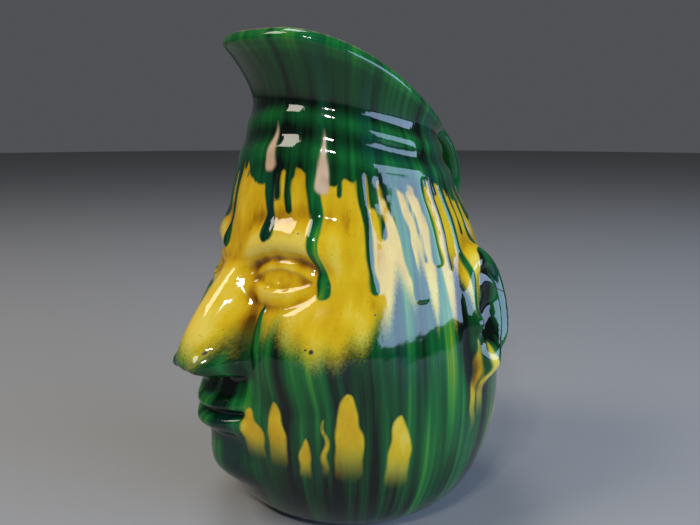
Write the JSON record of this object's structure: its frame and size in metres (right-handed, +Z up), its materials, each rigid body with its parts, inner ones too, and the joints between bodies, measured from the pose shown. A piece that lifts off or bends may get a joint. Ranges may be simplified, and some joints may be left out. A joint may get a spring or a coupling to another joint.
{
  "type": "face jug",
  "caption": "Hollow head-shaped pouring jug in glazed earthenware, with a raised lip over the brow, ears at the sides and a loop handle behind.",
  "frame": {"origin": "middle of the flat underside, on the surface that the jug stands on", "axes": "+Z up, the face looks along -Y and the handle is behind it towards +Y, +X is the left ear's side"},
  "size_m": [0.1378, 0.1453, 0.1945],
  "materials": {
    "glaze": "glossy lead-type glaze, green runs over egg yellow"
  },
  "bodies": {
    "root": {"jug": "glaze"}
  },
  "joints": []
}
